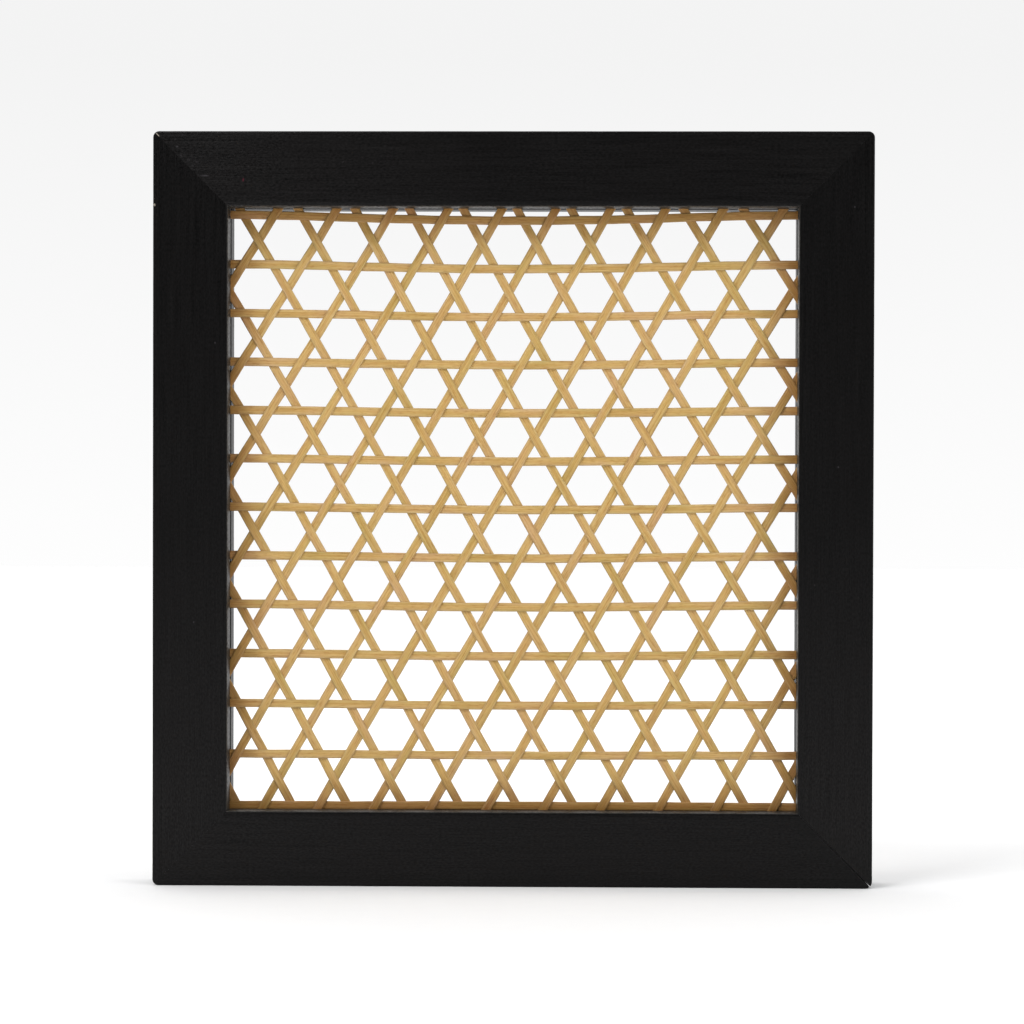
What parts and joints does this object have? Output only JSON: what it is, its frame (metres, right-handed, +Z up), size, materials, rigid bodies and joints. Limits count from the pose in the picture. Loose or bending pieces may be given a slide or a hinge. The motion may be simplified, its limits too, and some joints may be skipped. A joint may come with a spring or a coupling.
{
  "type": "bamboo lattice panel",
  "caption": "Black wooden frame, mitred at its corners, round an open hexagonal lattice of flat woven bamboo strips.",
  "frame": {"origin": "on the floor under the middle of the bottom rail: the centre of the panel's underside", "axes": "+Z up along the stiles, the panel's height; +X along the rails, its width; the front faces -Y and the back +Y"},
  "size_m": [0.25, 0.02, 0.262],
  "materials": {
    "frame_wood": "wood stained black, satin, with the grain faintly showing",
    "bamboo": "split bamboo strips, bare and satin, golden tan with fine lengthwise fibres"
  },
  "bodies": {
    "root": {"bottom_rail": "frame_wood", "falling_strip_01": "bamboo", "falling_strip_02": "bamboo", "falling_strip_03": "bamboo", "falling_strip_04": "bamboo", "falling_strip_05": "bamboo", "falling_strip_06": "bamboo", "falling_strip_07": "bamboo", "falling_strip_08": "bamboo", "falling_strip_09": "bamboo", "falling_strip_10": "bamboo", "falling_strip_11": "bamboo", "falling_strip_12": "bamboo", "falling_strip_13": "bamboo", "falling_strip_14": "bamboo", "falling_strip_15": "bamboo", "falling_strip_16": "bamboo", "left_stile": "frame_wood", "level_strip_01": "bamboo", "level_strip_02": "bamboo", "level_strip_03": "bamboo", "level_strip_04": "bamboo", "level_strip_05": "bamboo", "level_strip_06": "bamboo", "level_strip_07": "bamboo", "level_strip_08": "bamboo", "level_strip_09": "bamboo", "level_strip_10": "bamboo", "level_strip_11": "bamboo", "level_strip_12": "bamboo", "level_strip_13": "bamboo", "right_stile": "frame_wood", "rising_strip_01": "bamboo", "rising_strip_02": "bamboo", "rising_strip_03": "bamboo", "rising_strip_04": "bamboo", "rising_strip_05": "bamboo", "rising_strip_06": "bamboo", "rising_strip_07": "bamboo", "rising_strip_08": "bamboo", "rising_strip_09": "bamboo", "rising_strip_10": "bamboo", "rising_strip_11": "bamboo", "rising_strip_12": "bamboo", "rising_strip_13": "bamboo", "rising_strip_14": "bamboo", "rising_strip_15": "bamboo", "rising_strip_16": "bamboo", "top_rail": "frame_wood"}
  },
  "joints": []
}
